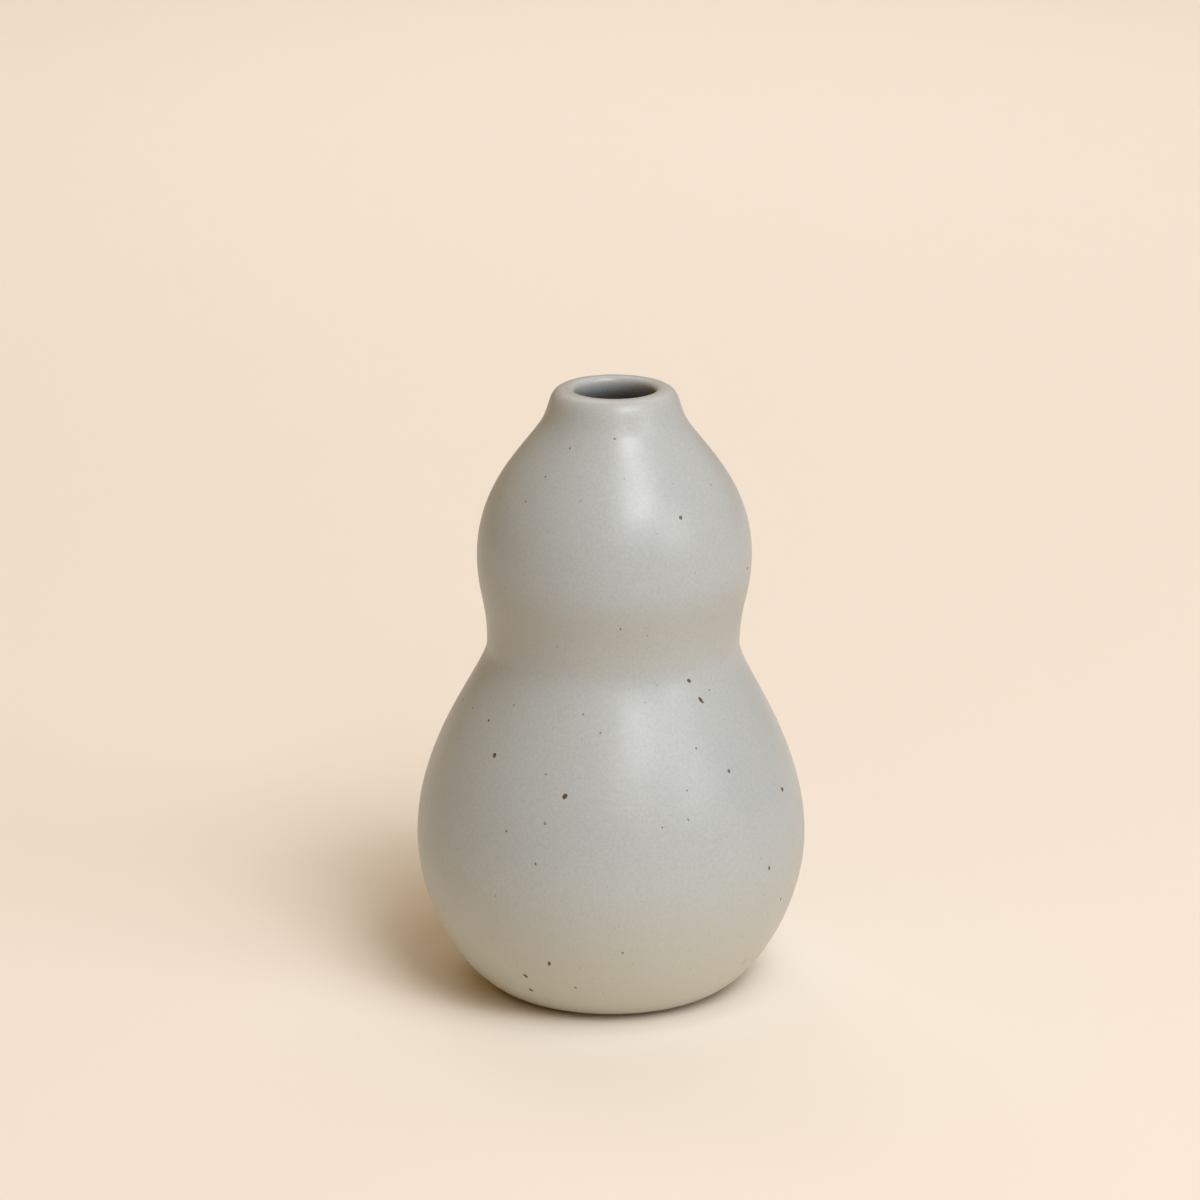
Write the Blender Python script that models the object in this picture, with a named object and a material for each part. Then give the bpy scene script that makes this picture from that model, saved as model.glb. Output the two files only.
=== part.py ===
"""Ceramic bud vase: a double-gourd stoneware vessel, glazed outside, inside and under its base.

Metres, +Z up. The origin is the centre of the foot, on the surface that the vase stands on.
Each piece is a solid turned about Z: a closed section in the plane of +X and +Z, spun once round.
"""

import math
from dataclasses import dataclass

import bmesh
import bpy
from mathutils import Vector

MM = 0.001
SEGMENTS = 40
SHARP_ANGLE = math.radians(40)
WELD = 1e-6

# Coats and walls
GLAZE = 0.5 * MM
GAP = 0.3 * MM
COAT = GLAZE + GAP
WALL = 4.8 * MM

# The glazed outside
HEIGHT = 140.0 * MM
FOOT_EDGE_RADIUS = 24.5 * MM
BELLY_RADIUS = 44.2 * MM
BELLY_HEIGHT = 35.5 * MM
WAIST_RADIUS = 28.5 * MM
WAIST_HEIGHT = 80.9 * MM
SHOULDER_RADIUS = 30.9 * MM
SHOULDER_HEIGHT = 101.4 * MM
NECK_RADIUS = 16.0 * MM
NECK_HEIGHT = 132.9 * MM
LIP_RADIUS = 10.5 * MM
MOUTH_RADIUS = 9.1 * MM
MOUTH_EDGE_HEIGHT = 138.8 * MM

# The glazed inside
SEAM_RADIUS = 10.8 * MM
SEAM_HEIGHT = 135.3 * MM
SEAM_HEADING = 314.0
THROAT_RADIUS = 15.3 * MM
THROAT_HEIGHT = 128.6 * MM
THROAT_HEADING = 306.0
FLOOR_RADIUS = 17.0 * MM
FLOOR_HEIGHT = 7.0 * MM

# The foot: a bare ring round a glazed recess
GLAZE_LINE_HEIGHT = 1.0 * MM
BARE_STEP = 0.4 * MM
FOOT_OUTER_RADIUS = 23.5 * MM
FOOT_INNER_RADIUS = 18.6 * MM
RECESS_RADIUS = 17.0 * MM
RECESS_EDGE_HEIGHT = 2.2 * MM
RECESS_CROWN_HEIGHT = 2.7 * MM
BASE_GLAZE_RADIUS = 15.6 * MM
RECESS_STEPS = 3

# Colours of the fired surfaces, linear
GLAZE_COLOUR = (0.36, 0.38, 0.36, 1.0)
LINER_COLOUR = (0.33, 0.35, 0.34, 1.0)
CLAY_COLOUR = (0.52, 0.40, 0.28, 1.0)


@dataclass(frozen=True)
class Station:
    """A place on a turned outline, and how the outline passes through it.

    heading is the way the outline runs there, in degrees from outwards (0) by upwards (90).
    before and after are how far it holds to that heading, and steps is how finely it goes on.
    """

    radius: float
    height: float
    heading: float
    before: float = 0.0
    after: float = 0.0
    steps: int = 1


OUTSIDE = (
    Station(FOOT_EDGE_RADIUS, 0.0, 13.0, after=9.3 * MM, steps=7),
    Station(BELLY_RADIUS, BELLY_HEIGHT, 90.0, 16.3 * MM, 22.0 * MM, steps=7),
    Station(WAIST_RADIUS, WAIST_HEIGHT, 90.0, 6.4 * MM, 9.5 * MM, steps=4),
    Station(SHOULDER_RADIUS, SHOULDER_HEIGHT, 90.0, 8.3 * MM, 16.7 * MM, steps=6),
    Station(NECK_RADIUS, NECK_HEIGHT, 116.4, 6.6 * MM, 4.3 * MM, steps=4),
    Station(LIP_RADIUS, HEIGHT, 180.0, 4.4 * MM, 0.7 * MM, steps=3),
    Station(MOUTH_RADIUS, MOUTH_EDGE_HEIGHT, 270.0, 0.7 * MM, 1.0 * MM),
)

MOUTH = (
    Station(MOUTH_RADIUS, MOUTH_EDGE_HEIGHT, 270.0, after=1.1 * MM, steps=3),
    Station(SEAM_RADIUS, SEAM_HEIGHT, SEAM_HEADING, before=1.7 * MM),
)

INSIDE = (
    Station(SEAM_RADIUS, SEAM_HEIGHT, SEAM_HEADING, after=1.8 * MM, steps=3),
    Station(THROAT_RADIUS, THROAT_HEIGHT, THROAT_HEADING, 3.2 * MM, 9.5 * MM, steps=6),
    Station(SHOULDER_RADIUS - WALL, SHOULDER_HEIGHT, 270.0, 12.0 * MM, 7.0 * MM, steps=4),
    Station(WAIST_RADIUS - WALL, WAIST_HEIGHT, 270.0, 8.0 * MM, 6.8 * MM, steps=6),
    Station(BELLY_RADIUS - WALL, BELLY_HEIGHT, 270.0, 20.0 * MM, 16.0 * MM, steps=6),
    Station(FLOOR_RADIUS, FLOOR_HEIGHT, 180.0, before=11.0 * MM),
)


def clear_scene():
    """Remove every object that the file opened with."""
    for item in list(bpy.data.objects):
        bpy.data.objects.remove(item, do_unlink=True)


def towards(heading, reach):
    """The step of that length along a heading, as radius and height."""
    angle = math.radians(heading)
    return Vector((math.cos(angle), math.sin(angle))) * reach


def stretch(start, end):
    """Points and headings of the smooth curve from one station to the next, without its last point."""
    a = Vector((start.radius, start.height))
    d = Vector((end.radius, end.height))
    b = a + towards(start.heading, start.after)
    c = d - towards(end.heading, end.before)
    found = []
    for step in range(start.steps):
        t = step / start.steps
        u = 1.0 - t
        point = u**3 * a + 3 * u * u * t * b + 3 * u * t * t * c + t**3 * d
        along = 3 * u * u * (b - a) + 6 * u * t * (c - b) + 3 * t * t * (d - c)
        found.append((point, along.normalized()))
    return found


def outline(stations):
    """Points and headings of the curve through all the stations."""
    found = []
    for start, end in zip(stations, stations[1:]):
        found += stretch(start, end)
    last = stations[-1]
    found.append((Vector((last.radius, last.height)), towards(last.heading, 1.0)))
    return found


def sunk(curve, depth):
    """The curve's points moved into the wall, which lies to the left of its run, by a depth."""
    return [point + depth * Vector((-along.y, along.x)) for point, along in curve]


def glazed_part(curve):
    """The part of the outside curve that the glaze covers."""
    return [item for item in curve if item[0].y >= GLAZE_LINE_HEIGHT]


def bare_part(curve):
    """The part of the outside curve below the glaze line."""
    return [item for item in curve if item[0].y < GLAZE_LINE_HEIGHT]


def glaze_line(curve):
    """The place where the outside curve crosses the glaze line, with its heading."""
    below = bare_part(curve)[-1]
    above = glazed_part(curve)[0]
    share = (GLAZE_LINE_HEIGHT - below[0].y) / (above[0].y - below[0].y)
    return below[0].lerp(above[0], share), below[1].lerp(above[1], share).normalized()


def outer_curve():
    """The glazed outside from the glaze line, over the lip and down to the seam in the neck."""
    outside = outline(OUTSIDE)
    return [glaze_line(outside)] + glazed_part(outside)[:-1] + outline(MOUTH)


def inner_curve():
    """The glazed inside from the seam in the neck to the middle of the floor."""
    return outline(INSIDE) + [(Vector((0.0, FLOOR_HEIGHT)), Vector((-1.0, 0.0)))]


def recess_points(drop):
    """The domed underside of the base from its edge to the axis, lowered by a drop."""
    found = []
    for step in range(RECESS_STEPS + 1):
        share = step / RECESS_STEPS
        radius = BASE_GLAZE_RADIUS * (1.0 - share)
        rise = (RECESS_CROWN_HEIGHT - RECESS_EDGE_HEIGHT) * math.sin(share * math.pi / 2)
        found.append(Vector((radius, RECESS_EDGE_HEIGHT + rise - drop)))
    return found


def outer_glaze_section():
    """The coat over the outside and the lip."""
    curve = outer_curve()
    return sunk(curve, 0.0) + sunk(curve, GLAZE)[::-1]


def liner_glaze_section():
    """The coat over the inside, a gap below the outer coat's seam."""
    curve = inner_curve()
    curve[0] = (curve[0][0] - Vector((0.0, GAP)), curve[0][1])
    return sunk(curve, 0.0) + sunk(curve, GLAZE)[::-1]


def base_glaze_section():
    """The disc of glaze in the recess under the base."""
    return recess_points(COAT) + recess_points(GAP)[::-1]


def clay_section():
    """The fired clay: foot ring, wall, lip, inside wall, floor and recess, as one closed section."""
    outside = outline(OUTSIDE)
    line_point, line_heading = glaze_line(outside)
    bare = bare_part(outside) + [(line_point - towards(0.0, GAP), line_heading)]
    foot = [
        Vector((RECESS_RADIUS, RECESS_EDGE_HEIGHT)),
        Vector((FOOT_INNER_RADIUS - BARE_STEP, BARE_STEP)),
        Vector((FOOT_INNER_RADIUS, 0.0)),
        Vector((FOOT_OUTER_RADIUS, 0.0)),
    ]
    wall = sunk(outer_curve()[:-1] + inner_curve(), COAT)
    return recess_points(0.0)[::-1] + foot + sunk(bare, BARE_STEP) + wall


def turned(section, name):
    """A closed section spun once round Z, as a mesh with its poles merged and its faces out."""
    build = bmesh.new()
    corners = [build.verts.new((point.x, 0.0, point.y)) for point in section]
    closed = zip(corners, corners[1:] + corners[:1])
    edges = [build.edges.new(pair) for pair in closed if max(v.co.x for v in pair) > WELD]
    bmesh.ops.spin(
        build,
        geom=corners + edges,
        cent=(0, 0, 0),
        axis=(0, 0, 1),
        angle=2 * math.pi,
        steps=SEGMENTS,
        use_merge=True,
    )
    bmesh.ops.remove_doubles(build, verts=build.verts, dist=WELD)
    bmesh.ops.recalc_face_normals(build, faces=build.faces)
    mesh = bpy.data.meshes.new(name)
    build.to_mesh(mesh)
    build.free()
    mesh.shade_smooth()
    mesh.set_sharp_from_angle(angle=SHARP_ANGLE)
    return mesh


def finish(name, colour, roughness):
    """A fired surface of that colour and roughness."""
    material = bpy.data.materials.new(name)
    material.use_nodes = True
    surface = material.node_tree.nodes["Principled BSDF"]
    surface.inputs["Base Color"].default_value = colour
    surface.inputs["Roughness"].default_value = roughness
    surface.inputs["Metallic"].default_value = 0.0
    return material


def add_piece(name, section, material):
    """One sub-part of the vase, at the origin of the scene."""
    mesh = turned(section, name)
    mesh.materials.append(material)
    piece = bpy.data.objects.new(name, mesh)
    bpy.context.scene.collection.objects.link(piece)
    return piece


def main():
    """Build the vase from the clay outwards."""
    clear_scene()
    clay = finish("fired_clay", CLAY_COLOUR, 0.85)
    satin = finish("satin_glaze", GLAZE_COLOUR, 0.45)
    liner = finish("liner_glaze", LINER_COLOUR, 0.35)
    add_piece("clay_body", clay_section(), clay)
    add_piece("outer_glaze", outer_glaze_section(), satin)
    add_piece("liner_glaze", liner_glaze_section(), liner)
    add_piece("base_glaze", base_glaze_section(), satin)


main()
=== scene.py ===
"""Ceramic bud vase: the finished look of the double-gourd vessel, built round its measured frame.

The vase is one pot of fired clay under three coats of glaze. Each coat and the clay are turned on
the same lathe outline, softened by the same hand-made unevenness, and dressed with their own finish.
All sizes are in metres, +Z up, with the origin at the centre of the foot. Only the specks are
measured in millimetres.
"""

import logging
import math
import random
from collections.abc import Iterable
from dataclasses import dataclass
from enum import Enum

import bpy
from mathutils import Matrix, Vector
from mathutils.bvhtree import BVHTree


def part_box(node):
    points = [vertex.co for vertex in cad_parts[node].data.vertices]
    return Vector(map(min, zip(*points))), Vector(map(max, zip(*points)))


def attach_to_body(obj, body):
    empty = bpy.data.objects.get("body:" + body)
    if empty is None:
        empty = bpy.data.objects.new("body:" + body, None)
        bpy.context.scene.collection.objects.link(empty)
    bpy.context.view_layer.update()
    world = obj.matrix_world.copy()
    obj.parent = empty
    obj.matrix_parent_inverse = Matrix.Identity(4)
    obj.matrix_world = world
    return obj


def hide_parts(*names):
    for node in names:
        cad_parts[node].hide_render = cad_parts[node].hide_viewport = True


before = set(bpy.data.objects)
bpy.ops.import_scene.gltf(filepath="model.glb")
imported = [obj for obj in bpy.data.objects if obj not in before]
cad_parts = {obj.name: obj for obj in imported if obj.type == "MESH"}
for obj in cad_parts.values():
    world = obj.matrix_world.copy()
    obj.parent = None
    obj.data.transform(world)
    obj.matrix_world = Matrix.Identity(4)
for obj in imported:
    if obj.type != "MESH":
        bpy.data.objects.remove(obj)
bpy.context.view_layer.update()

LOG = logging.getLogger("bud_vase")
MM = 0.001
BODY = "root"
VEIL_ATTRIBUTE = "veil"

Colour = tuple[float, float, float, float]
Place = tuple[float, float, float]
# Points of a section, radius first, each with the direction in which the curve runs there
Curve = list[tuple[Vector, Vector]]
Section = list[Vector]
# What an input of a node can get
Feed = bpy.types.NodeSocket | Colour | Place | float


class Slot(Enum):
    """The record's material slots."""

    CLAY = "fired_clay"
    SATIN = "satin_glaze"
    LINER = "liner_glaze"


class Heading(Enum):
    """The plain ways an outline runs, in degrees from outwards (0) by upwards (90)."""

    UP = 90.0
    IN = 180.0
    DOWN = 270.0


# --------------------------------------------------------------------------------------------------
# The turned outline
# --------------------------------------------------------------------------------------------------


@dataclass(frozen=True)
class Station:
    """A place on a turned outline, and how the outline passes through it.

    Attributes:
        radius: Distance from the axis.
        height: Height above the foot.
        heading: The way the outline runs there, in degrees.
        before: How far it keeps to that heading on the way in.
        after: How far it keeps to that heading on the way out.
    """

    radius: float
    height: float
    heading: float
    before: float = 0.0
    after: float = 0.0

    @property
    def place(self) -> Vector:
        """The station as a point of the section, radius first."""
        return Vector((self.radius, self.height))

    @property
    def along(self) -> Vector:
        """The station's heading as a direction of length one."""
        angle = math.radians(self.heading)
        return Vector((math.cos(angle), math.sin(angle)))


@dataclass(frozen=True)
class Outline:
    """A smooth curve through stations.

    Attributes:
        stations: The places it passes through, in order.
        spacing: The distance between its points.
        least_steps: The fewest points that a stretch between two stations gets.
    """

    stations: tuple[Station, ...]
    spacing: float = 1.1 * MM
    least_steps: int = 4

    def curve(self) -> Curve:
        """Walk the curve.

        Returns:
            Each point with the direction in which the curve runs there.
        """
        found = []
        for start, end in zip(self.stations, self.stations[1:]):
            found += self._stretch(start, end)
        last = self.stations[-1]
        found.append((last.place, last.along))
        return found

    def _stretch(self, start: Station, end: Station) -> Curve:
        """The points and directions between two stations, without the last one.

        Args:
            start: The station that the stretch leaves.
            end: The station that it reaches.

        Returns:
            Its points with their directions.
        """
        a, d = start.place, end.place
        b, c = a + start.along * start.after, d - end.along * end.before
        length = (b - a).length + (c - b).length + (d - c).length
        steps = max(self.least_steps, round(length / self.spacing))
        found = []
        for step in range(steps):
            t = step / steps
            u = 1.0 - t
            point = u**3 * a + 3 * u * u * t * b + 3 * u * t * t * c + t**3 * d
            run = 3 * u * u * (b - a) + 6 * u * t * (c - b) + 3 * t * t * (d - c)
            found.append((point, run.normalized()))
        return found


def sunk(curve: Curve, depth: float) -> Section:
    """Move a curve into the wall, which lies to the left of its run.

    Args:
        curve: Points with directions.
        depth: How far to move them.

    Returns:
        The moved points.
    """
    return [point + depth * Vector((-run.y, run.x)) for point, run in curve]


def dome(radius: float, edge_height: float, rise: float, steps: int = 10) -> Section:
    """The outline of a shallow dome, from the axis out to its edge.

    Args:
        radius: The radius of its edge.
        edge_height: The height of its edge.
        rise: How far its middle is above its edge.
        steps: How many stretches it takes.

    Returns:
        Its points.
    """
    found = []
    for step in range(steps + 1):
        share = step / steps
        up = rise * math.cos(share * math.pi / 2)
        found.append(Vector((radius * share, edge_height + up)))
    return found


@dataclass(frozen=True)
class VaseOutline:
    """The glazed shape of the vase, outside and inside, from its driving sizes.

    Attributes:
        height: Height of the lip.
        belly_radius: Radius of the lower bulb.
        wall: Thickness of the wall, glaze included.
        glaze_line: Height from which the outside is glazed.
        foot_edge_radius: Radius of the outside where it meets the surface below.
        foot_edge_lean: The way it leaves that surface, in degrees.
        belly_height: Height of the lower bulb's widest ring.
        waist_radius: Radius of the waist.
        waist_height: Height of the waist.
        shoulder_radius: Radius of the upper bulb.
        shoulder_height: Height of the upper bulb's widest ring.
        neck_radius: Radius of the neck, below the lip's roll.
        neck_height: Height of the neck.
        neck_lean: The way the outside runs at the neck, in degrees.
        lip_radius: Radius of the lip's crest.
        mouth_radius: Radius of the mouth's edge.
        mouth_edge_drop: How far the mouth's edge lies below the crest.
        seam_radius: Radius of the seam between the outer coat and the liner.
        seam_height: Height of the seam.
        seam_lean: The way the inside runs at the seam, in degrees.
        throat_radius: Radius of the inside below the neck.
        throat_height: Height of the throat.
        throat_lean: The way the inside runs at the throat, in degrees.
        floor_radius: Radius of the flat floor.
        floor_height: Height of the floor.
        inside_spacing: The distance between the inside's points.
    """

    height: float
    belly_radius: float
    wall: float = 4.8 * MM
    glaze_line: float = 1.0 * MM
    foot_edge_radius: float = 24.5 * MM
    foot_edge_lean: float = 13.0
    belly_height: float = 35.5 * MM
    waist_radius: float = 28.5 * MM
    waist_height: float = 80.9 * MM
    shoulder_radius: float = 30.9 * MM
    shoulder_height: float = 101.4 * MM
    neck_radius: float = 16.0 * MM
    neck_height: float = 132.9 * MM
    neck_lean: float = 116.4
    lip_radius: float = 10.5 * MM
    mouth_radius: float = 9.1 * MM
    mouth_edge_drop: float = 1.2 * MM
    seam_radius: float = 10.8 * MM
    seam_height: float = 135.3 * MM
    seam_lean: float = 314.0
    throat_radius: float = 15.3 * MM
    throat_height: float = 128.6 * MM
    throat_lean: float = 306.0
    floor_radius: float = 17.0 * MM
    floor_height: float = 7.0 * MM
    inside_spacing: float = 1.8 * MM

    @property
    def mouth_edge_height(self) -> float:
        """The height of the mouth's edge."""
        return self.height - self.mouth_edge_drop

    def bare(self) -> Curve:
        """The outside below the glaze line.

        Returns:
            Its points with their directions.
        """
        return [item for item in self._outside().curve() if item[0].y < self.glaze_line]

    def coated(self) -> Curve:
        """The outside from the glaze line, over the lip and down to the seam in the neck.

        Returns:
            Its points with their directions.
        """
        outside = [item for item in self._outside().curve() if item[0].y >= self.glaze_line]
        return outside[:-1] + self._mouth().curve()

    def lined(self) -> Curve:
        """The inside from the seam in the neck down to the middle of the floor.

        Returns:
            Its points with their directions.
        """
        floor_middle = (Vector((0.0, self.floor_height)), Vector((-1.0, 0.0)))
        return self._inside().curve() + [floor_middle]

    def _outside(self) -> Outline:
        """The outside, from the foot's edge up to the inner edge of the mouth.

        Returns:
            Its outline.
        """
        up, across, down = Heading.UP.value, Heading.IN.value, Heading.DOWN.value
        foot = Station(self.foot_edge_radius, 0.0, self.foot_edge_lean, after=9.3 * MM)
        belly = Station(self.belly_radius, self.belly_height, up, before=16.3 * MM, after=22.0 * MM)
        waist = Station(self.waist_radius, self.waist_height, up, before=6.4 * MM, after=9.5 * MM)
        shoulder = Station(
            self.shoulder_radius, self.shoulder_height, up, before=8.3 * MM, after=16.7 * MM
        )
        neck = Station(
            self.neck_radius, self.neck_height, self.neck_lean, before=6.6 * MM, after=4.3 * MM
        )
        lip = Station(self.lip_radius, self.height, across, before=4.4 * MM, after=0.7 * MM)
        mouth = Station(self.mouth_radius, self.mouth_edge_height, down, before=0.7 * MM)
        return Outline((foot, belly, waist, shoulder, neck, lip, mouth))

    def _mouth(self) -> Outline:
        """The inner side of the lip, from the mouth's edge down to the seam with the liner.

        Returns:
            Its outline.
        """
        down = Heading.DOWN.value
        edge = Station(self.mouth_radius, self.mouth_edge_height, down, after=1.1 * MM)
        seam = Station(self.seam_radius, self.seam_height, self.seam_lean, before=1.7 * MM)
        return Outline((edge, seam))

    def _inside(self) -> Outline:
        """The inside, from the seam in the neck down to the edge of the floor.

        Returns:
            Its outline.
        """
        across, down = Heading.IN.value, Heading.DOWN.value
        seam = Station(self.seam_radius, self.seam_height, self.seam_lean, after=1.8 * MM)
        throat = Station(
            self.throat_radius, self.throat_height, self.throat_lean, before=3.2 * MM, after=9.5 * MM
        )
        radius = self.shoulder_radius - self.wall
        shoulder = Station(radius, self.shoulder_height, down, before=12.0 * MM, after=7.0 * MM)
        radius = self.waist_radius - self.wall
        waist = Station(radius, self.waist_height, down, before=8.0 * MM, after=6.8 * MM)
        radius = self.belly_radius - self.wall
        belly = Station(radius, self.belly_height, down, before=20.0 * MM, after=16.0 * MM)
        floor = Station(self.floor_radius, self.floor_height, across, before=11.0 * MM)
        return Outline((seam, throat, shoulder, waist, belly, floor), self.inside_spacing)


# --------------------------------------------------------------------------------------------------
# The lathe and the hand of the maker
# --------------------------------------------------------------------------------------------------


def select_only(piece: bpy.types.Object) -> None:
    """Make one object the only selected and active one.

    Args:
        piece: The object.
    """
    bpy.ops.object.select_all(action="DESELECT")
    piece.select_set(True)
    bpy.context.view_layer.objects.active = piece


@dataclass(frozen=True)
class Lathe:
    """Turns a section about the vase's axis.

    Attributes:
        segments: How many steps one turn takes.
        weld: Points closer than this become one.
        sharp: Edges that turn by more than this angle stay crisp, in radians.
    """

    segments: int = 192
    weld: float = 2e-6
    sharp: float = math.radians(50)

    def turn(self, name: str, section: Section, closed: bool) -> bpy.types.Object:
        """Draw a section with one vertex, as with a pencil, and spin it once round.

        Args:
            name: The piece's name.
            section: The section's points, radius first.
            closed: Whether its last point joins its first; if not, both lie on the axis.

        Returns:
            The turned piece.
        """
        bpy.ops.object.select_all(action="DESELECT")
        start = section[0]
        bpy.ops.mesh.primitive_plane_add(size=MM, location=(0.0, 0.0, 0.0))
        piece = bpy.context.active_object
        piece.name = piece.data.name = name
        bpy.ops.object.mode_set(mode="EDIT")
        bpy.ops.mesh.select_all(action="SELECT")
        bpy.ops.mesh.merge(type="CENTER")
        bpy.ops.transform.translate(value=(start.x, 0.0, start.y))
        for here, there in zip(section, section[1:]):
            step = (there.x - here.x, 0.0, there.y - here.y)
            bpy.ops.mesh.extrude_region_move(TRANSFORM_OT_translate={"value": step})
        if closed:
            self._join_ends(piece)
        bpy.ops.mesh.select_all(action="SELECT")
        bpy.ops.mesh.spin(
            steps=self.segments,
            dupli=False,
            angle=2 * math.pi,
            use_auto_merge=True,
            center=(0.0, 0.0, 0.0),
            axis=(0.0, 0.0, 1.0),
        )
        bpy.ops.mesh.select_all(action="SELECT")
        bpy.ops.mesh.remove_doubles(threshold=self.weld)
        bpy.ops.mesh.normals_make_consistent(inside=False)
        bpy.ops.object.mode_set(mode="OBJECT")
        bpy.ops.object.shade_smooth_by_angle(angle=self.sharp)
        return piece

    @staticmethod
    def _join_ends(piece: bpy.types.Object) -> None:
        """Close a drawn section, in edit mode, with an edge from its last point to its first.

        Args:
            piece: The object that holds the section.
        """
        bpy.ops.object.mode_set(mode="OBJECT")
        count = [0] * len(piece.data.vertices)
        for edge in piece.data.edges:
            for corner in edge.vertices:
                count[corner] += 1
        for vertex in piece.data.vertices:
            vertex.select = count[vertex.index] == 1
        bpy.ops.object.mode_set(mode="EDIT")
        bpy.ops.mesh.edge_face_add()


@dataclass(frozen=True)
class MakersHand:
    """The slight unevenness that a pot keeps from the hand and the kiln.

    A soft cage leans and squeezes the whole pot, and a thumb has pressed the mouth a little wider.

    Attributes:
        height: The height of the pot.
        lean: How far the upper bulb stands to the right of the lower one.
        lean_from: Where the lean begins, as a share of the height.
        lean_to: Where it is complete, as a share of the height.
        squeeze: How far the cage's rings are drawn sideways by chance.
        squeeze_to: Where the squeeze is complete, as a share of the height, from none at the foot.
        seed: Chooses by how much.
        across: How many points a ring of the cage has along each side.
        levels: How many rings the cage has.
        reach: Half the cage's width.
        press_at: The place on the mouth's edge that the thumb has pressed, once the pot leans.
        press_by: How far it has moved that place.
        press_reach: How far round that place the clay has followed.
    """

    height: float
    lean: float = 0.75 * MM
    lean_from: float = 0.42
    lean_to: float = 0.66
    squeeze: float = 0.12 * MM
    squeeze_to: float = 0.25
    seed: int = 11
    across: int = 3
    levels: int = 9
    reach: float = 50 * MM
    press_at: Place = (9.6 * MM, -1.5 * MM, 138.2 * MM)
    press_by: Place = (0.15 * MM, 0.0, 0.0)
    press_reach: float = 5.0 * MM

    def soften(self, pieces: Iterable[bpy.types.Object]) -> None:
        """Give all pieces the same unevenness, so that their layers stay together.

        Args:
            pieces: The turned pieces.
        """
        cage = self._cage()
        thumb_from = self._marker(Vector(self.press_at))
        thumb_to = self._marker(Vector(self.press_at) + Vector(self.press_by))
        for piece in pieces:
            select_only(piece)
            bend = piece.modifiers.new("makers_hand", "LATTICE")
            bend.object = cage
            bpy.ops.object.modifier_apply(modifier=bend.name)
            press = piece.modifiers.new("thumb_press", "WARP")
            press.object_from = thumb_from
            press.object_to = thumb_to
            press.falloff_type = "SMOOTH"
            press.falloff_radius = self.press_reach
            bpy.ops.object.modifier_apply(modifier=press.name)
        for helper in (cage, thumb_from, thumb_to):
            bpy.data.objects.remove(helper, do_unlink=True)

    @staticmethod
    def _marker(place: Vector) -> bpy.types.Object:
        """An empty at a place.

        Args:
            place: The place.

        Returns:
            The empty.
        """
        bpy.ops.object.select_all(action="DESELECT")
        bpy.ops.object.empty_add(location=place)
        return bpy.context.active_object

    def _cage(self) -> bpy.types.Object:
        """The soft cage with its rings moved.

        Returns:
            The lattice object.
        """
        bpy.ops.object.select_all(action="DESELECT")
        bpy.ops.object.add(type="LATTICE", location=(0.0, 0.0, self.height / 2))
        cage = bpy.context.active_object
        width = 2 * self.reach
        cage.scale = (width, width, self.height)
        cage.data.points_u = cage.data.points_v = self.across
        cage.data.points_w = self.levels
        dice = random.Random(self.seed)
        side = self.squeeze / width
        for index, point in enumerate(cage.data.points):
            share = (index // self.across**2) / (self.levels - 1)
            rise = min(1.0, max(0.0, (share - self.lean_from) / (self.lean_to - self.lean_from)))
            lean = self.lean * rise * rise * (3.0 - 2.0 * rise) / width
            drift = Vector((dice.uniform(-side, side), dice.uniform(-side, side), 0.0))
            grounded = drift * min(1.0, share / self.squeeze_to)
            point.co_deform = point.co_deform + grounded + Vector((lean, 0.0, 0.0))
        return cage


# --------------------------------------------------------------------------------------------------
# Nodes and the effects that finishes share
# --------------------------------------------------------------------------------------------------


def feed(tree: bpy.types.NodeTree, socket: bpy.types.NodeSocket, value: Feed) -> None:
    """Give an input another node's output or a plain value.

    Args:
        tree: The node tree.
        socket: The input.
        value: An output, a colour or a number.
    """
    if isinstance(value, bpy.types.NodeSocket):
        tree.links.new(value, socket)
    else:
        socket.default_value = value


def add_node(
    tree: bpy.types.NodeTree,
    kind: str,
    inputs: dict[str | int, Feed] | None = None,
    **settings: object,
) -> bpy.types.Node:
    """Add a node to a tree.

    Args:
        tree: The node tree.
        kind: The node's type.
        inputs: What its inputs get, by name or by number.
        **settings: Its properties.

    Returns:
        The node.
    """
    made = tree.nodes.new(kind)
    for name, value in settings.items():
        setattr(made, name, value)
    for name, value in (inputs or {}).items():
        feed(tree, made.inputs[name], value)
    return made


def calculate(
    tree: bpy.types.NodeTree, operation: str, first: Feed, second: Feed
) -> bpy.types.NodeSocket:
    """Work out a value from two others.

    Args:
        tree: The node tree.
        operation: What to do with them.
        first: The first value.
        second: The second value.

    Returns:
        The result.
    """
    made = add_node(tree, "ShaderNodeMath", {0: first, 1: second}, operation=operation)
    return made.outputs["Value"]


def measure(tree: bpy.types.NodeTree, operation: str, *places: Feed) -> bpy.types.NodeSocket:
    """Measure how far a place is from the origin, or from another place.

    Args:
        tree: The node tree.
        operation: What to measure.
        *places: The one place or the two.

    Returns:
        The measure.
    """
    inputs = dict(enumerate(places))
    return add_node(tree, "ShaderNodeVectorMath", inputs, operation=operation).outputs["Value"]


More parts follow.
